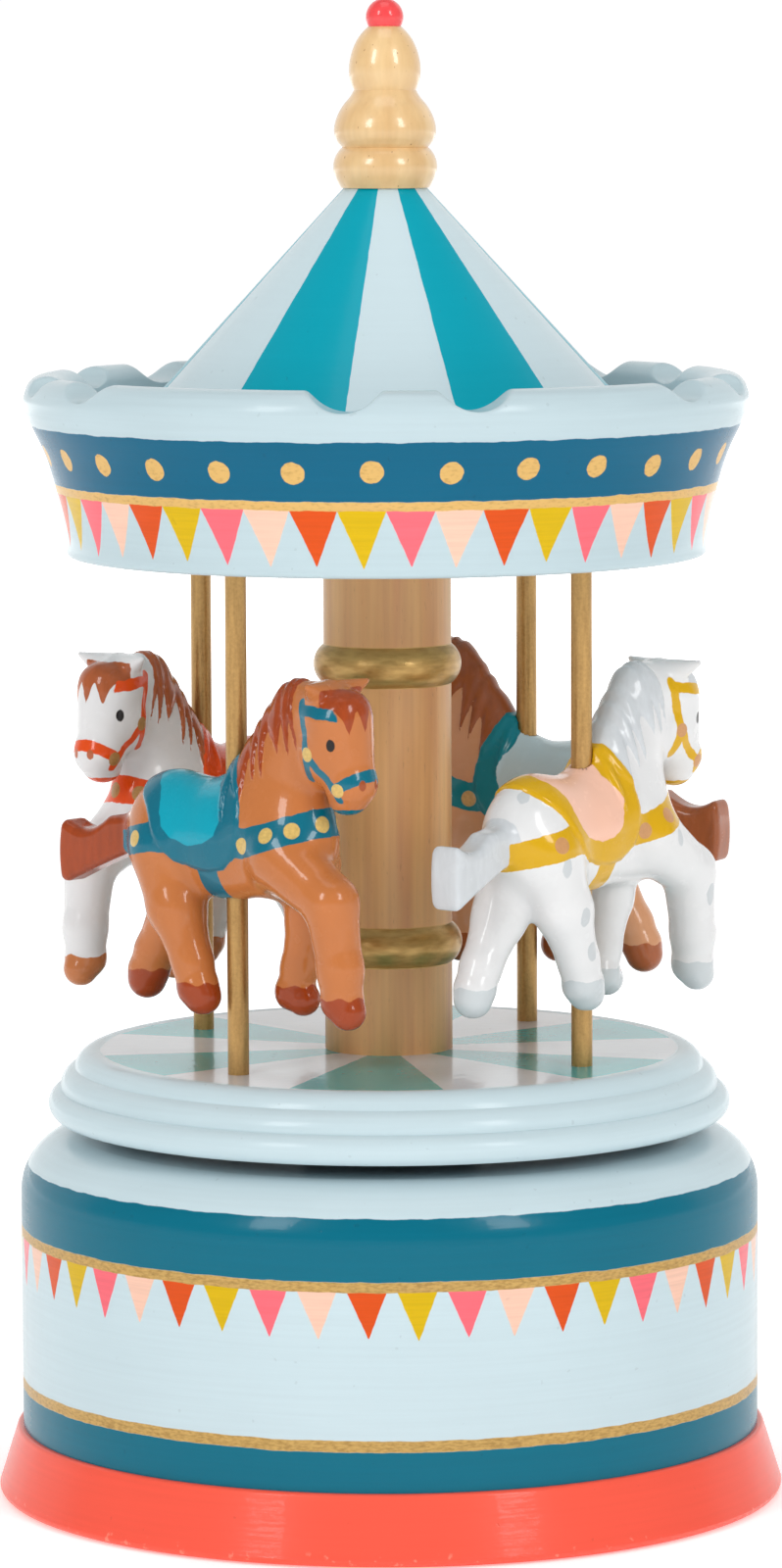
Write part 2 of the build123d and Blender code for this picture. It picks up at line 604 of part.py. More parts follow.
def make_governor_bracket():
    foot_x = (GOVERNOR_SHAFT_X[0] - 0.1, 35.6)
    bracket = block(foot_x, (6.6, 20.2), (BED_BOTTOM - 1.2, BED_BOTTOM))
    for x_range in ((26.8, 28.0), (34.7, 35.6)):
        bracket += block(x_range, (GOVERNOR_Y - 1.1, GOVERNOR_Y + 1.3), (28.9, BED_BOTTOM))
        bracket -= rod_x(GOVERNOR_SHAFT_RADIUS + RUNNING_CLEARANCE, x_range, GOVERNOR_Y, GOVERNOR_Z)
    bracket += block((31.0, 35.4), (19.1, 20.2), (19.2, BED_BOTTOM))
    bracket += block((32.6, 34.6), (WORM_Y - 1.0, 20.2), (19.2, 20.4))
    return bracket - disc(FAN_SHAFT_RADIUS + RUNNING_CLEARANCE, 19.0, BED_BOTTOM, WORM_X, WORM_Y)


def make_governor_arbor():
    shaft = rod_x(GOVERNOR_SHAFT_RADIUS, GOVERNOR_SHAFT_X, GOVERNOR_Y, GOVERNOR_Z)
    width = CYLINDER_GEAR_X[1] - CYLINDER_GEAR_X[0]
    pinion = spur_gear(GOVERNOR_TEETH, GEAR_MODULE, width)
    gap_to_gear = GOVERNOR_LIFT + 180 + 180 / GOVERNOR_TEETH
    return shaft + along_x(pinion, CYLINDER_GEAR_X[0], GOVERNOR_Y, GOVERNOR_Z, gap_to_gear)


def make_worm_wheel():
    width = WORM_WHEEL_X[1] - WORM_WHEEL_X[0]
    wheel = spur_gear(WORM_WHEEL_TEETH, WORM_MODULE, width, thickness=0.34, tip_thickness=0.2)
    wheel -= Cylinder(GOVERNOR_SHAFT_RADIUS + 0.02, 3 * width)
    return along_x(wheel, WORM_WHEEL_X[0], GOVERNOR_Y, GOVERNOR_Z, 0)


def make_worm_shaft():
    shaft = disc(FAN_SHAFT_RADIUS, *FAN_SHAFT_Z, WORM_X, WORM_Y)
    pitch = pi * WORM_MODULE
    height = WORM_TURNS * pitch
    core_radius = WORM_PITCH_RADIUS - 0.42
    core = disc(core_radius, GOVERNOR_Z - height / 2 - 0.6, GOVERNOR_Z + height / 2 + 0.6, WORM_X, WORM_Y)
    path = Helix(pitch=pitch, height=height, radius=core_radius - 0.1)
    profile = Plane(origin=path @ 0, z_dir=path % 0, x_dir=(1, 0, 0)) * Polyline(
        (0, -0.3), (0.75, -0.12), (0.75, 0.12), (0, 0.3), close=True
    )
    thread = sweep(make_face(profile), path=path, is_frenet=True)
    worm = Pos(WORM_X, WORM_Y, GOVERNOR_Z - height / 2) * Rot(0, 0, WORM_PHASE) * thread
    return shaft + core + worm


def make_fan():
    blade_x = (WORM_X - FAN_RADIUS, WORM_X + FAN_RADIUS)
    fan = block(blade_x, (WORM_Y - 0.25, WORM_Y + 0.25), FAN_Z)
    fan += disc(1.1, *FAN_Z, WORM_X, WORM_Y)
    return fan - disc(FAN_SHAFT_RADIUS + 0.02, *FAN_Z, WORM_X, WORM_Y)


# ---- all sub-parts ------------------------------------------------------------------------------
def build():
    nodes = {
        "base_plate": make_base_plate(),
        "base_screws": make_base_screws(),
        "drum": make_drum(),
        "movement_bedplate": make_bedplate(),
        "movement_screws": make_movement_screws(),
        "spring_housing": make_spring_housing(),
        "mainspring": make_mainspring(),
        "comb": make_comb(),
        "comb_screws": make_comb_screws(),
        "inner_cylinder_bracket": make_cylinder_bracket((12.2, 13.4)),
        "outer_cylinder_bracket": make_cylinder_bracket((31.1, 32.2)),
        "governor_bracket": make_governor_bracket(),
        "winding_arbor": make_winding_arbor(),
        "drive_wheel": make_drive_wheel(),
        "rotor_hub": make_hub(),
        "hub_screws": make_hub_screws(),
        "platform": make_platform(),
        "column": make_column(),
        "crown": make_crown(),
        "roof_cone": make_roof_cone(),
        "finial": make_finial(),
        "finial_ball": make_finial_ball(),
        "cylinder_shaft": make_cylinder_shaft(),
        "cylinder_pinion": make_cylinder_pinion(),
        "cylinder_gear": make_cylinder_gear(),
        "tune_cylinder": make_tune_cylinder(),
        "governor_arbor": make_governor_arbor(),
        "worm_wheel": make_worm_wheel(),
        "worm_shaft": make_worm_shaft(),
        "fan": make_fan(),
    }
    horse = make_horse()
    for name, (_, heading) in HORSES.items():
        x, y = POLE_POINTS[name]
        nodes["pole_" + name] = disc(POLE_RADIUS, MORTISE_BOTTOM + 0.1, POLE_TOP, x, y)
        nodes["horse_" + name] = Pos(x, y, 0) * Rot(0, 0, heading) * horse
    return nodes


def main():
    os.makedirs("parts", exist_ok=True)
    for name, shape in build().items():
        if isinstance(shape, list):
            shape = Compound(children=shape)
        export_step(shape, "parts/" + name + ".step")


if __name__ == "__main__":
    main()
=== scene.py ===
"""Carousel music box: enamelled woodwork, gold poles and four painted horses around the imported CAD."""

from math import cos, pi, radians, sin

import bpy
import numpy as np
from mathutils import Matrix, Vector


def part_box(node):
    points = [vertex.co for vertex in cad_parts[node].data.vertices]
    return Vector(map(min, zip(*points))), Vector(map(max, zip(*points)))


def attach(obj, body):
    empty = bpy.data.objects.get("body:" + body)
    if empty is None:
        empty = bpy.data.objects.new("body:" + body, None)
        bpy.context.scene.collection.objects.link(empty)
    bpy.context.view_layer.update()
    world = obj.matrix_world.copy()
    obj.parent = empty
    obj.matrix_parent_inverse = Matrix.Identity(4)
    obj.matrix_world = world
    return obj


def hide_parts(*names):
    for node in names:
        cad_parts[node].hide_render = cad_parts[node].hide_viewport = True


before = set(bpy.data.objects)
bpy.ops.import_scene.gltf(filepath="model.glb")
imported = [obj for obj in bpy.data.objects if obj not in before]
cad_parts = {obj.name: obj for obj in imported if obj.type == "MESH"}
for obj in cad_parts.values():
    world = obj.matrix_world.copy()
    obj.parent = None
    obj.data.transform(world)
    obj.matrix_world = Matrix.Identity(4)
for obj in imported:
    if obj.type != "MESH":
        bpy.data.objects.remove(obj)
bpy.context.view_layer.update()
MM = 0.001


# ---- colours ------------------------------------------------------------------------------------
def srgb(red, green, blue):
    """Linear RGBA from display values of 0 to 255."""
    channels = [c / 255 for c in (red, green, blue)]
    linear = [c / 12.92 if c <= 0.04045 else ((c + 0.055) / 1.055) ** 2.4 for c in channels]
    return (*linear, 1.0)


LIGHT_BLUE = srgb(200, 219, 225)
DARK_BLUE = srgb(0, 107, 130)
TEAL = srgb(0, 160, 180)
CORAL = srgb(250, 94, 74)
GOLD = srgb(222, 180, 108)
DARK_GOLD = srgb(192, 150, 86)
# Painted shade: the crown's light and dark blue are the drum's two blues made darker, for the shade on the
# skirt under the flared rim.
CROWN_BLUE_PAINTED_SHADE = srgb(189, 208, 214)
CROWN_DARK_BLUE_PAINTED_SHADE = srgb(0, 96, 128)
POLE_GOLD = srgb(200, 158, 94)
POLE_DARK_GOLD = srgb(158, 120, 66)
BAND_GOLD = srgb(206, 168, 100)
BAND_DARK_GOLD = srgb(166, 130, 72)
BEAD_GOLD = srgb(206, 166, 96)
BEAD_DARK_GOLD = srgb(176, 136, 72)
BUNTING = [srgb(220, 80, 16), srgb(216, 178, 0), srgb(247, 108, 120), srgb(245, 198, 175)]
PLATFORM_TEAL = srgb(0, 166, 170)
PLATFORM_PALE = srgb(208, 214, 218)
BLACK = srgb(26, 20, 18)
BRUSHED_EDGE = 0.06


# ---- node trees ---------------------------------------------------------------------------------
class Value:
    """A number inside a material's node tree."""

    def __init__(self, graph, socket):
        self.graph = graph
        self.socket = socket

    def __add__(self, other):
        return self.graph.math("ADD", self, other)

    def __radd__(self, other):
        return self.graph.math("ADD", other, self)

    def __sub__(self, other):
        return self.graph.math("SUBTRACT", self, other)

    def __rsub__(self, other):
        return self.graph.math("SUBTRACT", other, self)

    def __mul__(self, other):
        return self.graph.math("MULTIPLY", self, other)

    def __rmul__(self, other):
        return self.graph.math("MULTIPLY", other, self)

    def __truediv__(self, other):
        return self.graph.math("DIVIDE", self, other)

    def __rtruediv__(self, other):
        return self.graph.math("DIVIDE", other, self)


class Graph:
    """One material: positions in millimetres at rest, noise, masks and the finish."""

    def __init__(self, name):
        self.material = bpy.data.materials.new(name)
        self.material.use_nodes = True
        self.nodes = self.material.node_tree.nodes
        self.links = self.material.node_tree.links
        self.nodes.clear()
        output = self.nodes.new("ShaderNodeOutputMaterial")
        self.surface = self.nodes.new("ShaderNodeBsdfPrincipled")
        self.links.new(self.surface.outputs["BSDF"], output.inputs["Surface"])
        scale = self.nodes.new("ShaderNodeVectorMath")
        scale.operation = "SCALE"
        coordinates = self.nodes.new("ShaderNodeTexCoord")
        self.links.new(coordinates.outputs["Object"], scale.inputs[0])
        scale.inputs["Scale"].default_value = 1 / MM
        self.position = scale.outputs[0]
        split = self.nodes.new("ShaderNodeSeparateXYZ")
        self.links.new(self.position, split.inputs[0])
        self.x, self.y, self.z = (Value(self, s) for s in split.outputs)

    def put(self, socket, value):
        if isinstance(value, Value):
            self.links.new(value.socket, socket)
        else:
            socket.default_value = value

    def math(self, operation, *values):
        node = self.nodes.new("ShaderNodeMath")
        node.operation = operation
        for socket, value in zip(node.inputs, values):
            self.put(socket, value)
        return Value(self, node.outputs[0])

    def radius(self):
        return self.math("SQRT", self.x * self.x + self.y * self.y)

    def angle(self):
        """Degrees round the axis from the front towards +X."""
        return self.math("ARCTAN2", self.x, 0.0 - self.y) * (180 / pi)

    def noise(self, scale, detail=2.0, offset=0.0):
        """Noise of 0 to 1; scale is in features per millimetre along X, Y and Z."""
        stretch = self.nodes.new("ShaderNodeVectorMath")
        stretch.operation = "MULTIPLY_ADD"
        self.links.new(self.position, stretch.inputs[0])
        stretch.inputs[1].default_value = scale if isinstance(scale, tuple) else (scale,) * 3
        stretch.inputs[2].default_value = (offset,) * 3
        node = self.nodes.new("ShaderNodeTexNoise")
        node.inputs["Scale"].default_value = 1.0
        node.inputs["Detail"].default_value = detail
        self.links.new(stretch.outputs[0], node.inputs["Vector"])
        return Value(self, node.outputs[0])

    def scatter(self, value):
        """One random number of 0 to 1 for each value."""
        node = self.nodes.new("ShaderNodeTexWhiteNoise")
        node.noise_dimensions = "1D"
        self.put(node.inputs["W"], value)
        return Value(self, node.outputs[0])

    def above(self, value, edge, soft=0.05):
        """0 below the edge, 1 above it."""
        node = self.nodes.new("ShaderNodeMapRange")
        node.interpolation_type = "SMOOTHSTEP"
        self.put(node.inputs["Value"], value)
        self.put(node.inputs["From Min"], edge - soft)
        self.put(node.inputs["From Max"], edge + soft)
        return Value(self, node.outputs[0])

    def below(self, value, edge, soft=0.05):
        return 1.0 - self.above(value, edge, soft)

    def between(self, value, low, high, soft=0.05):
        return self.above(value, low, soft) * self.below(value, high, soft)

    def mix(self, first, second, share):
        node = self.nodes.new("ShaderNodeMix")
        node.data_type = "RGBA"
        self.put(node.inputs[0], share)
        self.put(node.inputs[6], first)
        self.put(node.inputs[7], second)
        return Value(self, node.outputs[2])

    def shade(self, colour, value):
        """The colour with its brightness times a value."""
        node = self.nodes.new("ShaderNodeHueSaturation")
        self.put(node.inputs["Value"], value)
        self.put(node.inputs["Color"], colour)
        return Value(self, node.outputs[0])

    def attribute(self, name):
        node = self.nodes.new("ShaderNodeAttribute")
        node.attribute_name = name
        return Value(self, node.outputs["Fac"])

    def bump(self, height, depth):
        """Relief whose height of 0 to 1 is a depth in millimetres."""
        node = self.nodes.new("ShaderNodeBump")
        node.inputs["Strength"].default_value = 1.0
        node.inputs["Distance"].default_value = depth * MM
        self.put(node.inputs["Height"], height)
        self.links.new(node.outputs[0], self.surface.inputs["Normal"])
        if self.surface.inputs["Coat Weight"].is_linked or self.surface.inputs["Coat Weight"].default_value:
            self.links.new(node.outputs[0], self.surface.inputs["Coat Normal"])

    def finish(self, colour, roughness, metallic=0.0, coat=0.0, coat_roughness=0.05, specular=0.5):
        for name, value in (
            ("Base Color", colour),
            ("Roughness", roughness),
            ("Metallic", metallic),
            ("Coat Weight", coat),
            ("Coat Roughness", coat_roughness),
            ("Specular IOR Level", specular),
        ):
            self.put(self.surface.inputs[name], value)


# ---- finishes -----------------------------------------------------------------------------------
def enamel(graph, colour, gold=None, coat=0.14, lines=1.0):
    """Gloss enamel with faint brush lines round the part, orange peel and a few specks; gold is a mask."""
    brush = graph.noise((0.04, 0.04, 1.7), 4.0)
    peel = graph.noise(0.55, 2.0, 7.0)
    speck = graph.above(graph.noise(1.15, 0.0, 31.0), 0.845, 0.02)
    tone = 0.985 + (brush - 0.5) * 0.10 * lines + (graph.noise(0.06, 2.0, 3.0) - 0.5) * 0.06 - speck * 0.09
    colour = graph.shade(colour, tone)
    roughness = 0.24 + (brush - 0.5) * 0.10
    metallic = 0.0
    if gold is not None:
        metallic = gold * 0.45
        roughness = roughness + gold * 0.12
    graph.finish(colour, roughness, metallic, coat, 0.06, 0.12)
    graph.bump(peel * 0.6 + brush * 0.4 - speck * 0.4, 0.035)
    return graph.material


def pennants(graph, ground, count, offset, radius, top, tip, half_width):
    """Hand-painted bunting round a part, four colours in turn, on the ground colour."""
    step = 360 / count
    wobble = (graph.noise(0.9, 2.0, 17.0) - 0.5) * 0.35
    place = (graph.angle() - offset) / step
    cell = graph.math("ROUND", place)
    across = (place - cell) * (step * pi / 180 * radius)
    lean = (graph.scatter(cell + 0.37) - 0.5) * 0.5
    end = tip + (graph.scatter(cell + 0.71) - 0.5) * 0.55
    share = (graph.z - end) / (top - end)
    reach = graph.math("ABSOLUTE", across - lean * (1.0 - share)) - share * half_width + wobble * 0.5
    inside = graph.below(reach, 0.0, 0.07) * graph.above(graph.z, end + 0.15, 0.12)
    turn = graph.math("MODULO", cell + 400.0, 4.0)
    colour = BUNTING[0]
    for number in (1, 2, 3):
        colour = graph.mix(colour, BUNTING[number], graph.above(turn, number - 0.5, 0.01))
    colour = graph.shade(colour, 1.0 + (graph.noise((0.1, 0.1, 3.0), 3.0, 5.0) - 0.5) * 0.25)
    inside = inside * graph.below(graph.z + wobble * 0.6, top + 0.2, BRUSHED_EDGE)
    return graph.mix(ground, colour, inside)


def base_paint():
    graph = Graph("coral_enamel")
    worn = graph.above(graph.noise(0.8, 3.0, 2.0), 0.66, 0.05) * graph.above(graph.radius(), 54.75, 0.15)
    colour = graph.mix(CORAL, srgb(255, 150, 128), worn * 0.7)
    return enamel(graph, colour)


def drum_paint():
    graph = Graph("drum_enamel")
    wobble = (graph.noise((0.25, 0.25, 0.1), 3.0, 9.0) - 0.5) * 0.5
    z = graph.z + wobble
    lower_line, upper_line, band_top = (15.0, 16.55), (36.6, 38.0), 46.4
    colour = pennants(
        graph, LIGHT_BLUE, count=48, offset=-3.4, radius=51.6, top=36.55, tip=30.2, half_width=2.62
    )
    gold = graph.between(z, *lower_line, BRUSHED_EDGE) + graph.between(z, *upper_line, BRUSHED_EDGE)
    step = graph.below(z, lower_line[0], BRUSHED_EDGE)
    band = graph.between(z, upper_line[1], band_top, BRUSHED_EDGE)
    colour = graph.mix(colour, DARK_BLUE, step + band)
    flake = graph.noise((1.2, 1.2, 3.5), 3.0, 21.0)
    leaf = graph.mix(BAND_DARK_GOLD, BAND_GOLD, graph.above(flake, 0.45, 0.25))
    colour = graph.mix(colour, leaf, gold)
    return enamel(graph, colour, gold)


def crown_paint():
    graph = Graph("crown_enamel")
    wobble = (graph.noise((0.3, 0.3, 0.1), 3.0, 4.0) - 0.5) * 0.5
    z = graph.z + wobble
    radius = graph.radius()
    shell_radius, line_foot, line_top, band_top = 43.6, 140.35, 141.55, 149.6
    outside = graph.above(radius, shell_radius, 0.1)
    # The crown's ground and band colours carry painted shade: they are darker copies of the drum's blues.
    colour = pennants(
        graph, CROWN_BLUE_PAINTED_SHADE, count=44, offset=-12.3, radius=44.9, top=140.3, tip=132.7, half_width=3.2
    )
    gold = graph.between(z, line_foot, line_top, BRUSHED_EDGE)
    colour = graph.mix(colour, CROWN_DARK_BLUE_PAINTED_SHADE, graph.between(z, line_top, band_top, BRUSHED_EDGE))
    dot_step, dot_height, dot_radius = 360 / 28, 145.6, 1.62
    place = (graph.angle() + 2.3) / dot_step
    cell = graph.math("ROUND", place)
    across = (place - cell) * (dot_step * pi / 180) * radius
    rise = (graph.z - dot_height - (graph.scatter(cell) - 0.5) * 0.5) * 1.08
    reach = graph.math("SQRT", across * across + rise * rise) + (graph.noise(1.1, 2.0, 13.0) - 0.5) * 0.35
    dots = graph.below(reach, dot_radius, BRUSHED_EDGE)
    flake = graph.noise((1.2, 1.2, 3.0), 3.0, 21.0)
    gold = (gold + dots) * outside
    colour = graph.mix(CROWN_BLUE_PAINTED_SHADE, colour, outside)
    colour = graph.mix(colour, graph.mix(DARK_GOLD, GOLD, graph.above(flake, 0.36, 0.2)), gold)
    return enamel(graph, colour, gold * 0.6)


def stripes(graph, offset, first, second):
    """Twelve sectors in two colours, the first one starting at the offset."""
    wobble = (graph.noise(0.35, 2.0, 6.0) - 0.5) * 16.0 / (graph.radius() + 2.0)
    place = (graph.angle() + wobble - offset + 720.0) / 60.0
    share = graph.math("FRACT", place)
    edge = 0.12 / (graph.radius() + 1.0)
    return graph.mix(second, first, graph.below(share, 0.5, edge) * graph.above(share, 0.0, edge))


def roof_stripes(graph):
    """Twelve hand-masked sectors: the front five edges are uneven, as in the photograph."""
    wobble = (graph.noise(0.35, 2.0, 6.0) - 0.5) * 16.0 / (graph.radius() + 2.0)
    edges = [-80.0, -41.5, -10.5, 16.0, 44.5] + [80.0 + 200 / 7 * k for k in range(7)]
    turn = graph.math("FRACT", (graph.angle() + wobble + 440.0) / 360.0)
    ramp = graph.nodes.new("ShaderNodeValToRGB")
    ramp.color_ramp.interpolation = "CONSTANT"
    ramp.color_ramp.elements.remove(ramp.color_ramp.elements[1])
    for number, edge in enumerate(edges):
        place = (edge + 80.0) / 360.0
        stop = ramp.color_ramp.elements[0] if number == 0 else ramp.color_ramp.elements.new(place)
        stop.color = TEAL if number % 2 else LIGHT_BLUE
    graph.put(ramp.inputs[0], turn)
    return Value(graph, ramp.outputs[0])


def roof_paint():
    graph = Graph("roof_enamel")
    return enamel(graph, roof_stripes(graph), coat=0.08, lines=0.35)


def platform_paint():
    graph = Graph("platform_enamel")
    radius = graph.radius()
    wobble = (graph.noise(0.2, 2.0, 8.0) - 0.5) * 0.8
    on_top = graph.above(graph.z, 62.0, 0.02) * graph.below(radius + wobble, 40.2, 0.12)
    colour = graph.mix(LIGHT_BLUE, stripes(graph, -19.5, PLATFORM_TEAL, PLATFORM_PALE), on_top)
    nick = graph.above(graph.noise((0.9, 0.9, 1.0), 2.0, 44.0), 0.77, 0.015) * on_top
    colour = graph.mix(colour, srgb(70, 110, 120), nick * 0.55)
    # Painted shade: the recess under the platform is painted a darker grey-blue.
    painted_shade_underside = graph.below(graph.z, 56.3, 0.1) * graph.below(radius, 39.9, 0.1)
    colour = graph.mix(colour, srgb(120, 134, 140), painted_shade_underside)
    return enamel(graph, colour, coat=0.14 + on_top * 0.3)


def column_wood():
    graph = Graph("column_beech")
    bead = graph.between(graph.z, 74.2, 79.9, 0.08) + graph.between(graph.z, 113.2, 118.9, 0.08)
    fibre = graph.noise((1.5, 1.5, 0.05), 4.0)
    figure = graph.noise((0.32, 0.32, 0.012), 3.0, 5.0)
    pore = graph.above(graph.noise((4.2, 4.2, 0.55), 2.0, 9.0), 0.70, 0.04)
    wood = graph.mix(srgb(208, 152, 98), srgb(230, 180, 118), graph.above(figure, 0.5, 0.25))
    blush = graph.above(graph.noise((0.2, 0.2, 0.02), 2.0, 14.0), 0.6, 0.12)
    wood = graph.mix(wood, srgb(205, 130, 96), blush * 0.35)
    wood = graph.shade(wood, 0.99 + (fibre - 0.5) * 0.22 - pore * 0.18)
    flake = graph.noise((0.5, 0.5, 2.2), 3.0, 11.0)
    gold = graph.mix(BEAD_DARK_GOLD, BEAD_GOLD, graph.above(flake, 0.45, 0.35))
    roughness = 0.42 + (fibre - 0.5) * 0.2 - bead * 0.08
    graph.finish(graph.mix(wood, gold, bead), roughness, bead * 0.55, 0.12 + bead * 0.15, 0.25)
    graph.bump(fibre * 0.6 - pore * 0.5 + flake * bead * 0.5, 0.04)
    return graph.material


def finial_wood():
    graph = Graph("finial_varnished_wood")
    fibre = graph.noise((1.4, 1.4, 0.08), 4.0, 2.0)
    figure = graph.noise((0.35, 0.35, 0.05), 3.0, 8.0)
    fleck = graph.above(graph.noise((2.4, 2.4, 0.9), 1.0, 19.0), 0.755, 0.03)
    wood = graph.mix(srgb(222, 180, 124), srgb(234, 198, 144), graph.above(figure, 0.5, 0.25))
    wood = graph.shade(wood, 1.0 + (fibre - 0.5) * 0.14)
    wood = graph.mix(wood, srgb(150, 96, 48), fleck * 0.75)
    graph.finish(wood, 0.3 + (fibre - 0.5) * 0.1, 0.0, 0.6, 0.08)
    graph.bump(fibre * 0.5 + graph.noise(0.5, 1.0, 4.0) * 0.5, 0.03)
    return graph.material


def red_paint():
    graph = Graph("red_enamel")
    colour = graph.mix(srgb(236, 66, 70), srgb(244, 84, 86), graph.noise(0.5, 2.0, 3.0))
    return enamel(graph, colour, coat=0.6)


def pole_paint():
    """Metallic gold paint brushed along the wood."""
    graph = Graph("pole_gold_paint")
    grain = graph.noise((1.9, 1.9, 0.22), 4.0, 1.0)
    flake = graph.noise(2.6, 2.0, 11.0)
    colour = graph.mix(POLE_DARK_GOLD, POLE_GOLD, graph.above(grain * 0.6 + flake * 0.4, 0.46, 0.32))
    graph.finish(colour, 0.38 + (flake - 0.5) * 0.25, 0.55, 0.15, 0.2)
    graph.bump(flake * 0.5 + grain * 0.5, 0.05)
    return graph.material


def metal(name, colour, roughness, streak, grime=0.1, metallic=1.0):
    """Machined or cast metal with tool marks along one axis and a little grime."""
    graph = Graph(name)
    marks = graph.noise(streak, 3.0, 2.0)
    dirt = graph.above(graph.noise(0.35, 3.0, 5.0), 0.56, 0.14)
    tone = 1.0 + (marks - 0.5) * 0.25 - dirt * grime
    graph.finish(graph.shade(colour, tone), roughness + (marks - 0.5) * 0.2 + dirt * 0.15, metallic)
    graph.bump(marks, 0.02)
    return graph.material


# ---- turned canopy ------------------------------------------------------------------------------
def smooth_curve(points, spacing):
    """Points along a Catmull-Rom curve through the given ones."""
    points = np.array(points, float)
    padded = np.vstack([2 * points[0] - points[1], points, 2 * points[-1] - points[-2]])
    curve = []
    for a, b, c, d in zip(padded, padded[1:], padded[2:], padded[3:]):
        count = max(2, int(np.linalg.norm(c - b) / spacing))
        for t in np.arange(count) / count:
            square, cube = 2 * a - 5 * b + 4 * c - d, 3 * b - a - 3 * c + d
            curve.append(0.5 * (2 * b + (c - a) * t + square * t**2 + cube * t**3))
    curve.append(points[-1])
    return np.array(curve)


def straight(start, end, spacing):
    count = max(1, int(np.hypot(end[0] - start[0], end[1] - start[1]) / spacing))
    return np.linspace(start, end, count + 1)


def add_mesh(name, vertices, faces, material):
    mesh = bpy.data.meshes.new(name)
    mesh.from_pydata([tuple(v) for v in vertices], [], [tuple(f) for f in faces])
    mesh.polygons.foreach_set("use_smooth", [True] * len(mesh.polygons))
    mesh.materials.append(material)
    mesh.update()
    piece = bpy.data.objects.new(name, mesh)
    bpy.context.scene.collection.objects.link(piece)
    return piece


def make_crown():
    """The canopy: a flared, turned skirt with a rounded rim that is cut by six pairs of soft scallops."""
    skirt = [(43.4, 131.2), (44.15, 131.45), (44.5, 132.3), (44.7, 134.9), (45.6, 139.6), (47.2, 145.1)]
    lip = [(49.45, 150.0), (50.2, 152.4), (50.05, 154.2), (49.0, 155.8), (47.2, 156.4), (45.4, 156.0)]
    inner = [(44.35, 154.9), (44.2, 153.6)]
    profile = np.vstack([
        straight((0.01, 131.2), (43.0, 131.2), 4.0),
        smooth_curve(skirt + lip + inner, 0.28),
        straight((44.2, 153.2), (44.2, 150.2), 0.5),
        straight((44.0, 150.0), (0.01, 150.0), 3.0),
    ])
    turns = 1440
    around = np.arange(turns) * 2 * pi / turns
    radius = profile[:, 0][:, None] * np.ones(turns)
    height = profile[:, 1][:, None] * np.ones(turns)
    rng = np.random.default_rng(8)
    rim_top, rim_foot = 156.4, 151.0
    half_pair, scallop, rounding = 10.5, 5.5, 0.32
    rim = (profile[:, 0] > 44.0)[:, None] & (profile[:, 1] > rim_foot)[:, None]
    for pair in (4, 66, 128, 182, 237, 293):
        for side in (-1, 1):
            turn = radians(pair + side * half_pair + rng.uniform(-0.5, 0.5))
            depth = 2.75 + rng.uniform(-0.25, 0.15)
            facing = np.cos(around - turn)[None, :] > 0
            reach = np.where(facing, np.abs(radius * np.sin(around - turn)), 99.0)
            cut = rim_top - depth + scallop - np.sqrt(np.maximum(scallop**2 - reach**2, 0.0))
            cut = cut + np.maximum(reach - scallop, 0.0) * 4
            lowered = height - rounding * np.logaddexp(0.0, (height - cut) / rounding)
            height = np.where(rim, np.maximum(lowered, rim_foot), height)
    x = radius * np.sin(around)
    y = -radius * np.cos(around)
    vertices = np.stack([x, y, height], axis=2).reshape(-1, 3) * MM
    rows = len(profile)
    row, column = np.meshgrid(np.arange(rows - 1), np.arange(turns), indexing="ij")
    after = (column + 1) % turns
    here, above = row * turns, (row + 1) * turns
    faces = np.stack([here + column, here + after, above + after, above + column], 2)
    return add_mesh("canopy", vertices, faces.reshape(-1, 4), crown_paint())


# ---- horse shape, in millimetres, with its pole on the Z axis, facing +X -------------------------
def ball(p, centre, radii, tilt=0.0):
    """Ellipsoid whose axes are tipped nose-down by the tilt."""
    q = p - np.array(centre, np.float32)
    c, s = cos(radians(tilt)), sin(radians(tilt))
    q = np.stack([q[:, 0] * c - q[:, 2] * s, q[:, 1], q[:, 0] * s + q[:, 2] * c], 1)
    radii = np.array(radii, np.float32)
    near = np.linalg.norm(q / radii, axis=1)
    far = np.linalg.norm(q / radii**2, axis=1) + 1e-6
    return near * (near - 1) / far


def limb(p, start, end, thin=1.0):
    """Round cone between two (x, y, z, radius) joints; thin divides its width across the horse."""
    a, b = np.array(start[:3], np.float32), np.array(end[:3], np.float32)
    stretch = np.array([1.0, thin, 1.0], np.float32)
    q, axis = (p - a) * stretch, (b - a) * stretch
    along = np.clip(q @ axis / (axis @ axis), 0, 1)
    reach = np.linalg.norm(q - along[:, None] * axis, axis=1)
    return (reach - start[3] - along * (end[3] - start[3])) / (1 + (thin - 1) * 0.35)


def merge(first, second, soft):
    """Union with a fillet of about the given size."""
    share = np.clip(0.5 + 0.5 * (second - first) / soft, 0, 1)
    return second * (1 - share) + first * share - soft * share * (1 - share)


def outline_distance(x, y, points):
    """Signed distance to a closed outline, negative inside."""
    nearest = np.full(x.shape, 1e9)
    inside = np.zeros(x.shape, bool)
    for (ax, ay), (bx, by) in zip(points, points[1:] + points[:1]):
        ex, ey = bx - ax, by - ay
        t = np.clip(((x - ax) * ex + (y - ay) * ey) / (ex * ex + ey * ey), 0, 1)
        nearest = np.minimum(nearest, np.hypot(x - ax - t * ex, y - ay - t * ey))
        crosses = (ay > y) != (by > y)
        inside ^= crosses & (x < ax + (y - ay) * ex / (ey if ey else 1e-9))
    return np.where(inside, -nearest, nearest)


def strap_distance(x, y, points):
    """Distance to an open line of points."""
    nearest = np.full(x.shape, 1e9)
    for (ax, ay), (bx, by) in zip(points, points[1:]):
        ex, ey = bx - ax, by - ay
        t = np.clip(((x - ax) * ex + (y - ay) * ey) / (ex * ex + ey * ey), 0, 1)
        nearest = np.minimum(nearest, np.hypot(x - ax - t * ex, y - ay - t * ey))
    return nearest


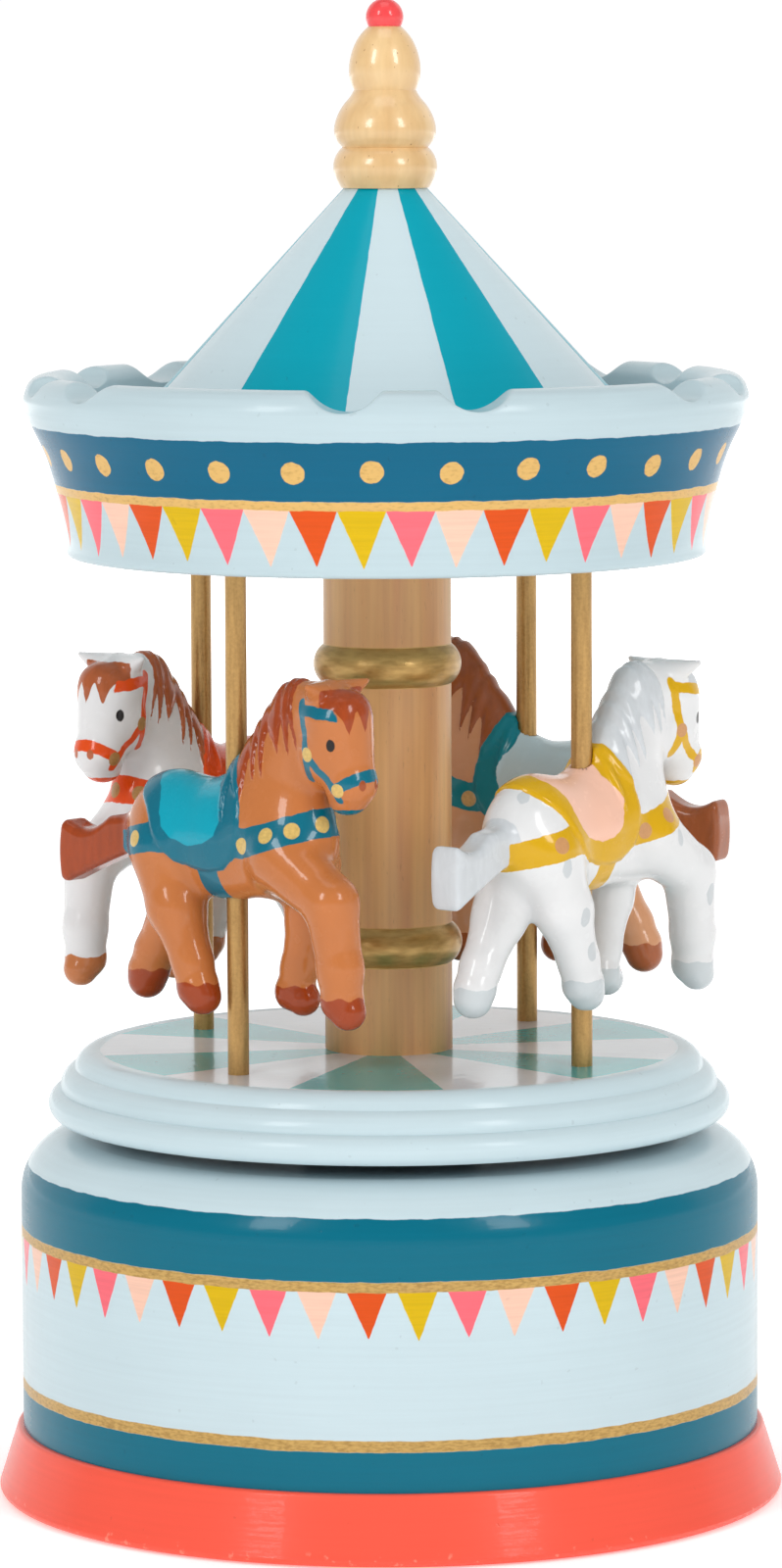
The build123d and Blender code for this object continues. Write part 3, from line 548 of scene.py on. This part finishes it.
# Outlines in the horse's side view (x, z): saddle pad, seat and the crest that the mane hangs from.
PAD = [(-15.5, 106), (-15.3, 101.5), (-13.8, 99.6), (-11.9, 98.0), (-10.7, 96.4), (-9.6, 94.6), (-8.4, 92.7)]
PAD += [(-6.3, 90.9), (-3.0, 89.9), (-0.3, 89.7), (2.2, 90.2), (4.4, 91.8), (5.5, 94.2), (5.8, 96.9)]
PAD += [(5.4, 99.2), (4.9, 101.4), (3.9, 103.2), (2.4, 106)]
SEAT = [(-12.2, 106), (-11.8, 102.3), (-10.3, 100.9), (-9.4, 99.5), (-8.9, 97.6), (-8.0, 95.6), (-6.4, 94.1)]
SEAT += [(-3.3, 93.2), (-0.6, 93.7), (1.3, 94.9), (2.0, 96.8), (2.1, 98.6), (1.4, 100.2), (0.2, 101.8)]
SEAT += [(0.0, 106)]
CREST = [(-1.5, 102.0), (2.3, 106.8), (6.2, 112.4), (9.1, 114.8), (13.4, 116.0), (17.5, 116.4)]


def spikes(value):
    """Triangle wave of 0 to 1 with one peak for each whole number."""
    return 1 - np.abs(2 * (value - np.floor(value)) - 1)


def mane_field(p):
    """How far a point is outside the locks that hang from the crest, with the height up a lock."""
    x, z = p[:, 0], p[:, 2]
    hang = np.interp(x, [c[0] for c in CREST], [c[1] for c in CREST])
    start = x - 0.17 * (hang - z)
    depth = np.interp(start, [c[0] for c in CREST], [c[1] for c in CREST]) - z
    place = start / 2.05 + 0.22 * np.sin(start * 1.1)
    length = np.interp(start, [-1.0, 1.5, 5.0, 13.0], [2.6, 3.4, 4.2, 4.4])
    spread = np.interp(start, [-1.0, 1.5, 5.0, 13.0], [4.4, 5.2, 5.4, 4.8]) * (1 + 0.16 * np.sin(place * 2.4))
    edge = length + spread * spikes(place) ** 1.25
    side = np.maximum(start - 12.9, 0.3 - start)
    return np.maximum((depth - edge) * 0.36, side), spikes(place)


def forelock_field(p):
    """The fringe that falls over the forehead in pointed locks."""
    x, y, z = p.T
    fall = 115.3 - z
    edge = 2.3 + 3.3 * spikes(y / 2.5 + 0.5) ** 1.2
    return np.maximum.reduce([(fall - edge) * 0.5, np.abs(y) - 4.3, 17.8 - x + 0.25 * np.abs(y), z - 115.6])


def horse_distance(p):
    """Signed distance to the horse's skin."""
    x, y, z = p.T
    body = ball(p, (-10.6, 0, 93.9), (8.0, 6.4, 8.5))
    body = merge(body, ball(p, (-1.0, 0, 93.7), (12.5, 6.1, 8.2)), 2.5)
    body = merge(body, ball(p, (9.2, 0, 94.4), (8.1, 6.0, 8.4)), 2.5)
    neck = limb(p, (6.8, 0, 98.2, 8.3), (12.7, 0, 110.5, 5.7), 1.62)
    body = merge(body, neck, 2.5)
    head = limb(p, (18.8, 0, 111.0, 4.75), (20.75, 0, 102.6, 3.45))
    head = merge(head, ball(p, (17.3, 0, 107.2), (4.3, 4.5, 5.0)), 1.2)
    head = merge(head, ball(p, (21.3, 0, 102.9), (3.15, 3.6, 2.9)), 0.8)
    head = merge(head, ball(p, (20.4, 0, 100.3), (2.5, 2.5, 1.75)), 0.7)
    head = merge(head, ball(p, (15.6, 0, 112.6), (4.0, 3.5, 3.5)), 2.0)
    body = merge(body, head, 1.4)
    fringe = ball(p, (20.3, 0, 112.8), (2.9, 3.5, 2.7))
    body = merge(body, fringe, 0.5)
    for side in (-1, 1):
        ear = limb(p, (17.2, side * 1.2, 114.3, 2.5), (18.5, side * 6.15, 116.2, 0.35))
        ear = np.maximum(ear, (z - 116.55) * 0.95)
        body = merge(body, ear, 0.7)
    near_front = [(11.0, -2.6, 92.5, 4.9), (19.9, -3.1, 86.9, 3.7), (21.3, -2.8, 78.0, 3.05)]
    near_front += [(21.5, -2.6, 73.6, 2.85)]
    far_front = [(10.6, 2.8, 90.5, 4.5), (10.3, 3.2, 83.5, 3.1), (8.6, 3.1, 76.6, 2.4), (7.9, 3.1, 73.2, 2.5)]
    near_rear = [(-11.0, -2.4, 92.0, 5.1), (-8.2, -3.4, 84.2, 4.0), (-5.2, -3.6, 77.0, 2.75)]
    near_rear += [(-4.1, -3.6, 73.4, 2.75)]
    far_rear = [(-11.8, 2.4, 91.0, 4.8), (-14.2, 3.0, 83.2, 3.7), (-18.2, 3.0, 76.8, 2.75)]
    far_rear += [(-19.5, 3.0, 73.9, 2.75)]
    for joints, toe in (
        (near_front, (22.5, -2.6, 72.2, 2.45)),
        (far_front, (9.3, 3.1, 72.3, 2.35)),
        (near_rear, (-3.4, -3.5, 72.3, 2.6)),
        (far_rear, (-19.9, 3.0, 72.6, 2.7)),
    ):
        leg = limb(p, joints[0], joints[1])
        for upper, lower in zip(joints[1:], joints[2:]):
            leg = merge(leg, limb(p, upper, lower), 1.2)
        ankle = (joints[-1][0], joints[-1][1], joints[-1][2], 2.9)
        hoof = limb(p, ankle, toe)
        leg = merge(leg, hoof, 0.6)
        leg = np.maximum(leg, 69.85 - z)
        body = merge(body, leg, 1.8)
    # The tail is a rounded paddle that widens towards its end, with a scoop out of its upper edge.
    share = np.clip((-15.0 - x) / 15.7, 0, 1)
    middle = 94.5 - 4.4 * share
    half_height = 2.5 + 2.1 * share**1.5
    half_width = 2.3 + 0.3 * share
    scoop = 1.5 * np.sin(pi * np.clip((share - 0.45) / 0.5, 0, 1)) * (z > middle)
    edge = 1.3
    across = np.abs(y + 1.0 * share) - half_width + edge
    upright = np.abs(z - middle) - half_height + edge + scoop
    over = np.stack([across, upright], 1)
    paddle = np.linalg.norm(np.maximum(over, 0), axis=1) + np.minimum(over.max(1), 0) - edge
    end = -30.75 - x + 0.5 * ((z - middle) / half_height) ** 2
    ends = np.maximum(end, x + 12.0)
    paddle = -merge(-paddle, -ends, 0.9)
    body = merge(body, paddle, 1.8)
    mane, lock = mane_field(p)
    strands = np.clip(-mane / 0.5, 0, 1) * (0.28 + 0.24 * lock)
    body = body - np.where((x < 15.5) & (z > 96), strands, 0)
    pad = outline_distance(x, z, PAD)
    body = body - 0.38 * np.clip(-pad / 0.5, 0, 1)
    return np.maximum(body, 1.5 - np.hypot(x, y))


def surface_net(values, low, step):
    """Quads along the zero surface of a grid of values: one vertex in each cell that it passes through."""
    corners = np.array([[i, j, k] for i in (0, 1) for j in (0, 1) for k in (0, 1)])
    shape = np.array(values.shape) - 1
    inside = values < 0
    count = np.zeros(shape, np.int8)
    for i, j, k in corners:
        count += inside[i : shape[0] + i, j : shape[1] + j, k : shape[2] + k]
    cells = np.argwhere((count > 0) & (count < 8))
    number = np.full(shape, -1)
    number[tuple(cells.T)] = np.arange(len(cells))
    total = np.zeros((len(cells), 3))
    hits = np.zeros(len(cells))
    for first in range(8):
        for second in range(first + 1, 8):
            if np.abs(corners[first] - corners[second]).sum() != 1:
                continue
            a = values[tuple((cells + corners[first]).T)]
            b = values[tuple((cells + corners[second]).T)]
            crossed = (a < 0) != (b < 0)
            t = np.where(crossed, a / np.where(crossed, a - b, 1), 0)
            place = corners[first] + t[:, None] * (corners[second] - corners[first])
            total += place * crossed[:, None]
            hits += crossed
    vertices = low + (cells + total / hits[:, None]) * step
    faces = []
    for axis in range(3):
        after = np.zeros(3, int)
        after[axis] = 1
        near = inside[: shape[0], : shape[1], : shape[2]]
        far = inside[tuple(slice(start, start + size) for start, size in zip(after, shape))]
        edges = np.argwhere(near != far)
        edges = edges[(edges > 0).all(1)]
        u, v = np.zeros(3, int), np.zeros(3, int)
        u[(axis + 1) % 3] = 1
        v[(axis + 2) % 3] = 1
        quad = np.stack([number[tuple((edges - s).T)] for s in (u + v, v, 0 * u, u)], 1)
        outward = near[tuple(edges.T)]
        quad[~outward] = quad[~outward][:, ::-1]
        faces.append(quad)
    faces = np.vstack(faces)
    return vertices, faces[(faces >= 0).all(1)]


def model_horse():
    """Vertices, faces and paint fields of one horse."""
    low = np.array([-33.0, -9.6, 68.5])
    step = 0.36
    size = np.ceil((np.array([27.0, 9.6, 118.5]) - low) / step).astype(int)
    values = np.empty(size, np.float32)
    rows = [low[axis] + np.arange(size[axis]) * step for axis in range(3)]
    for first in range(0, size[0], 12):
        part = np.stack(np.meshgrid(rows[0][first : first + 12], rows[1], rows[2], indexing="ij"), -1)
        points = part.reshape(-1, 3).astype(np.float32)
        values[first : first + 12] = horse_distance(points).reshape(part.shape[:3])
    vertices, faces = surface_net(values, low, step)
    for _ in range(2):
        here = horse_distance(vertices)
        slope = np.empty_like(vertices)
        for axis in range(3):
            shift = np.zeros(3)
            shift[axis] = 0.05
            slope[:, axis] = (horse_distance(vertices + shift) - horse_distance(vertices - shift)) / 0.1
        length = np.maximum(np.linalg.norm(slope, axis=1), 0.3)
        vertices = vertices - slope / length[:, None] * np.clip(here / length, -0.3, 0.3)[:, None]
    return vertices, faces, paint_fields(vertices)


def paint_fields(p):
    """Signed distances in millimetres from each vertex to the edge of each painted area."""
    x, y, z = p.T

    def spot(guess, radius, squeeze=1.0):
        """A round or upright oval spot where the skin is nearest to a point."""
        centre = p[np.argmin(((p - np.array(guess)) ** 2).sum(1))]
        away = (p - centre) * np.array([1.0, 1.0, squeeze])
        return np.linalg.norm(away, axis=1) - radius

    def pair(guess, radius, squeeze=1.0):
        a, b, c = guess
        return np.minimum(spot((a, b, c), radius, squeeze), spot((a, -b, c), radius, squeeze))

    pad = outline_distance(x, z, PAD)
    seat = outline_distance(x, z, SEAT)
    along = [-18, -15, -10, 0, 6.5, 11, 13.5, 17]
    middle = np.interp(x, along, [92.0, 93.0, 94.1, 93.8, 94.2, 95.4, 96.3, 97.4])
    band = np.abs(z - middle) - 2.05
    band = np.maximum(band, -18.9 - x)
    girth = np.maximum(np.abs(x + 0.8) - 1.8, z - 92.0)
    girth = np.maximum(girth, 84.0 - z)
    cheek = strap_distance(x, z, [(15.3, 113.7), (16.0, 110.5), (16.6, 107.0), (16.2, 103.6)])
    jaw = strap_distance(x, z, [(16.9, 106.9), (18.3, 104.8), (21.2, 102.2), (21.5, 101.0)])
    nose = strap_distance(x, z, [(21.2, 102.2), (24.6, 104.3)])
    brow = strap_distance(x, z, [(15.7, 112.9), (24.0, 112.0)])
    on_head = np.maximum(14.2 - x, 98.5 - z)
    jaw = np.maximum(jaw - 0.6, 1.5 - np.abs(y))
    bridle = np.minimum.reduce([cheek - 0.65, jaw, nose - 0.8, np.maximum(brow - 0.75, 3.7 - np.abs(y))])
    bridle = np.maximum(bridle, on_head)
    straps = np.where((x > 15.2) & (z > 100.3), 9.0, np.minimum(band, girth))
    tack = np.minimum.reduce([pad, straps, bridle])
    studs = [pair(place, 1.15) for place in ((6.4, 6.1, 93.9), (11.0, 6.2, 95.5), (-12.8, 7.0, 93.7))]
    studs += [spot(place, 1.15) for place in ((14.3, -4.7, 96.3), (16.8, -1.1, 97.3), (16.3, 3.4, 96.9))]
    studs += [pair(place, 1.0) for place in ((17.0, 4.6, 106.8), (21.4, 3.6, 102.1))]
    stud = np.minimum.reduce(studs)
    mane, _ = mane_field(p)
    mane = np.where((x < 15.3) & (z > 96), mane, 9.0)
    fringe = forelock_field(p)
    tail = np.maximum(x + 17.3 + 0.12 * np.abs(z - 94) ** 1.5, np.abs(z - 93) - 9)
    hair = np.minimum.reduce([mane, fringe, tail])
    hoof = z - 74.2 - 0.22 * np.sin(x * 1.3 + y * 1.9)
    eye = pair((21.2, 5.0, 108.1), 0.62, 0.72)
    nostril = pair((25.5, 1.75, 102.9), 0.55, 0.75)
    rng = np.random.default_rng(21)
    spots = np.full(len(p), 9.0)
    places = [(-16.5, -3.0, 101.5), (-14.8, 1.5, 103.5), (-15.8, 5.0, 100.5), (-12.0, -8, 90.6)]
    places += [(-8.5, -8, 83.5), (-15.6, 7.0, 83.5), (-16.8, 8.0, 90.0), (-6.0, -7, 78.5)]
    places += [(13.2, -8.5, 92.6), (21.0, -7.0, 83.8), (11.0, 8.0, 88.5), (5.0, 8.0, 90.0)]
    places += [(-5.0, 8.0, 89.5), (-9.5, 8.0, 99.5), (20.5, 3.0, 86.0)]
    for place in places:
        spots = np.minimum(spots, spot(place, rng.uniform(0.6, 0.95), rng.uniform(0.45, 0.75)))
    return {
        "tack": tack,
        "seat": seat,
        "stud": stud,
        "hair": hair,
        "hoof": hoof,
        "eye": eye,
        "nostril": nostril,
        "spots": spots,
    }


def horse_paint(name, palette):
    """Gloss paint over the whole horse, one area after the other, with hand-painted edges."""
    graph = Graph(name)
    wobble = (graph.noise(0.8, 2.0, 3.0) - 0.5) * 0.45
    colour = graph.shade(palette["body"], 0.99 + (graph.noise(0.12, 3.0, 1.0) - 0.5) * 0.16)
    grain = {"hair": graph.noise((1.1, 1.1, 0.28), 4.0, 12.0), "stud": graph.noise(2.4, 2.0, 9.0)}
    for area in ("spots", "hoof", "hair", "tack", "seat", "stud", "nostril", "eye"):
        if area not in palette:
            continue
        drift = 0.35 if area in ("eye", "stud", "nostril") else 1.0
        share = graph.below(graph.attribute(area) + wobble * drift, 0.0, 0.07)
        tint = palette[area]
        if area in grain:
            tint = graph.shade(tint, 0.98 + (grain[area] - 0.5) * palette.get("streak", 0.55))
        colour = graph.mix(colour, tint, share)
    peel = graph.noise(0.5, 2.0, 5.0)
    graph.finish(colour, 0.26 + (peel - 0.5) * 0.12, 0.0, 0.45, 0.05, 0.15)
    graph.bump(peel, 0.03)
    return graph.material


PALETTES = {
    "front_left": {
        "body": srgb(194, 116, 62), "hoof": srgb(156, 62, 20), "hair": srgb(160, 66, 24),
        "tack": srgb(0, 106, 128), "seat": srgb(0, 158, 180), "stud": srgb(214, 180, 104),
        "nostril": srgb(160, 76, 36), "eye": BLACK,
    },
    "rear_right": {
        "body": srgb(216, 158, 118), "hoof": srgb(166, 92, 54), "hair": srgb(160, 88, 50),
        "tack": srgb(0, 128, 142), "seat": srgb(196, 216, 222), "stud": srgb(206, 168, 112),
        "nostril": srgb(150, 76, 40), "eye": BLACK,
    },
    "rear_left": {
        "body": srgb(226, 225, 225), "hoof": srgb(190, 116, 68), "hair": srgb(172, 90, 50),
        "tack": srgb(228, 78, 18), "seat": srgb(228, 78, 18), "stud": srgb(178, 132, 76),
        "nostril": srgb(184, 98, 60), "eye": BLACK,
    },
    "front_right": {
        "body": srgb(226, 226, 226), "hoof": srgb(200, 206, 208), "hair": srgb(206, 210, 213),
        "tack": srgb(214, 166, 10), "seat": srgb(244, 194, 170), "stud": srgb(202, 148, 98),
        "nostril": srgb(190, 190, 192), "eye": BLACK, "spots": srgb(200, 204, 206), "streak": 0.2,
    },
}
# Degrees by which each horse, modelled facing +X, is turned anticlockwise as seen from above.
HEADINGS = {"front_left": -41.0, "front_right": 49.3, "rear_right": 154.0, "rear_left": 228.0}


def add_horses():
    """One horse shape, brought to the size of the CAD horses and painted and turned for each pole."""
    vertices, faces, fields = model_horse()
    scale, lift = np.array([0.989, 0.989, 0.9957]), np.array([0, 0, 0.951])
    local = vertices * scale + lift
    for name, heading in HEADINGS.items():
        low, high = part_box("pole_" + name)
        turn = radians(heading)
        spin = np.array([[cos(turn), sin(turn), 0], [-sin(turn), cos(turn), 0], [0, 0, 1]])
        place = local @ spin * MM + np.array([(low[0] + high[0]) / 2, (low[1] + high[1]) / 2, 0])
        paint = horse_paint("horse_paint_" + name, PALETTES[name])
        piece = add_mesh("painted_horse_" + name, place, faces, paint)
        for field, values in fields.items():
            if field == "spots" and "spots" not in PALETTES[name]:
                continue
            attribute = piece.data.attributes.new(field, "FLOAT", "POINT")
            attribute.data.foreach_set("value", values.astype(np.float32))
        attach(piece, "rotor")
        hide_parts("horse_" + name)


# ---- assembly -----------------------------------------------------------------------------------
def dress_cad():
    """Give every CAD node its finish."""
    steel = metal("turned_steel", srgb(176, 178, 180), 0.28, (0.3, 0.3, 5.0))
    cast = metal("cast_zinc", srgb(158, 160, 162), 0.46, 1.6, 0.2, 0.9)
    brass = metal("machined_brass", srgb(212, 174, 96), 0.3, (5.0, 0.3, 0.3), 0.2)
    blued = metal("blued_spring", srgb(84, 92, 116), 0.3, (0.2, 0.2, 3.0))
    black = metal("black_plastic", srgb(40, 40, 42), 0.5, 2.0, 0.1, 0.0)
    ivory = metal("fan_plastic", srgb(222, 216, 202), 0.45, 2.2, 0.12, 0.0)
    gold = pole_paint()
    finishes = {
        "base_plate": base_paint(), "base_screws": steel, "drum": drum_paint(),
        "platform": platform_paint(), "column": column_wood(), "roof_cone": roof_paint(),
        "finial": finial_wood(), "finial_ball": red_paint(), "rotor_hub": black, "hub_screws": steel,
        "movement_bedplate": cast, "movement_screws": steel, "spring_housing": cast, "mainspring": blued,
        "comb": steel, "comb_screws": steel, "inner_cylinder_bracket": cast, "outer_cylinder_bracket": cast,
        "governor_bracket": cast, "winding_arbor": steel, "drive_wheel": brass, "cylinder_shaft": steel,
        "cylinder_pinion": brass, "cylinder_gear": brass, "tune_cylinder": brass, "governor_arbor": steel,
        "worm_wheel": brass, "worm_shaft": steel, "fan": ivory,
    }
    for name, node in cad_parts.items():
        material = gold if name.startswith("pole_") else finishes.get(name, cast)
        node.data.materials.clear()
        node.data.materials.append(material)
        node.data.polygons.foreach_set("use_smooth", [True] * len(node.data.polygons))


def white_studio():
    """A world that is white up to the horizon and behind the object, and dimmer overhead and in front."""
    world = bpy.data.worlds.new("white_studio")
    world.use_nodes = True
    nodes, links = world.node_tree.nodes, world.node_tree.links
    split = nodes.new("ShaderNodeSeparateXYZ")
    links.new(nodes.new("ShaderNodeTexCoord").outputs["Generated"], split.inputs[0])

    def step(socket, low, high, start, end):
        node = nodes.new("ShaderNodeMapRange")
        node.interpolation_type = "SMOOTHSTEP"
        links.new(socket, node.inputs["Value"])
        for name, value in (("From Min", low), ("From Max", high), ("To Min", start), ("To Max", end)):
            node.inputs[name].default_value = value
        return node.outputs[0]

    behind = nodes.new("ShaderNodeMath")
    behind.operation = "MULTIPLY"
    links.new(step(split.outputs["Y"], 0.2, 0.5, 0.0, 1.0), behind.inputs[0])
    links.new(step(split.outputs["Z"], 0.6, 0.8, 1.0, 0.0), behind.inputs[1])
    bright = nodes.new("ShaderNodeMath")
    bright.operation = "MAXIMUM"
    links.new(behind.outputs[0], bright.inputs[0])
    links.new(step(split.outputs["Z"], 0.03, 0.1, 1.0, 0.0), bright.inputs[1])
    background = nodes["Background"]
    background.inputs["Color"].default_value = (1, 1, 1, 1)
    links.new(step(bright.outputs[0], 0.0, 1.0, 0.36, 1.02), background.inputs["Strength"])
    return world


def add_stage():
    """A pale round floor that glows, two front softboxes, a top light and the camera."""
    turns = 96
    ring = [(3.0 * cos(2 * pi * k / turns), 3.0 * sin(2 * pi * k / turns), 0.0) for k in range(turns)]
    graph = Graph("studio_floor")
    graph.finish(graph.mix(srgb(246, 246, 246), srgb(250, 250, 250), graph.noise(0.01)), 0.9)
    graph.surface.inputs["Emission Color"].default_value = (1, 1, 1, 1)
    # Painted light: the floor glows, more behind the object and further from it, and its glow lights the
    # object as well.
    behind = graph.above(graph.y, 600.0, 900.0)
    glow = 0.34 + behind * 0.4 + graph.above(graph.radius(), 1200.0, 500.0) * 0.7
    graph.put(graph.surface.inputs["Emission Strength"], glow)
    floor = add_mesh("studio_floor", ring, [range(turns)], graph.material)
    floor.location = (0, 0, -0.0002)
    bpy.context.scene.world = white_studio()
    for name, place, aim, width, height, power in (
        ("left_softbox", (-0.8, -1.0, 0.8), (0, 0, 0.09), 0.3, 0.6, 5.9),
        ("right_softbox", (0.8, -1.0, 0.8), (0, 0, 0.09), 0.3, 0.6, 5.9),
        ("top_softbox", (0.0, -0.1, 1.3), (0, 0, 0.1), 0.7, 0.7, 2.2),
    ):
        data = bpy.data.lights.new(name, "AREA")
        data.shape = "RECTANGLE"
        data.size, data.size_y, data.energy = width, height, power
        light = bpy.data.objects.new(name, data)
        light.location = place
        light.rotation_euler = (Vector(aim) - Vector(place)).to_track_quat("-Z", "Y").to_euler()
        bpy.context.scene.collection.objects.link(light)
    # The view that fits the photograph: it looks down by 6.26 degrees and is rolled by 0.24 degrees.
    camera = bpy.data.cameras.new("camera")
    camera.sensor_fit = "VERTICAL"
    camera.sensor_height = 36.0
    camera.lens = 158.2425
    view = bpy.data.objects.new("camera", camera)
    view.location = (0.00088, -0.9555, 0.2039)
    view.rotation_euler = (radians(90 - 6.26), radians(0.24), 0)
    bpy.context.scene.collection.objects.link(view)
    bpy.context.scene.camera = view
    bpy.context.scene.view_settings.view_transform = "Standard"


dress_cad()
crown = make_crown()
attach(crown, "rotor")
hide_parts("crown")
add_horses()
add_stage()
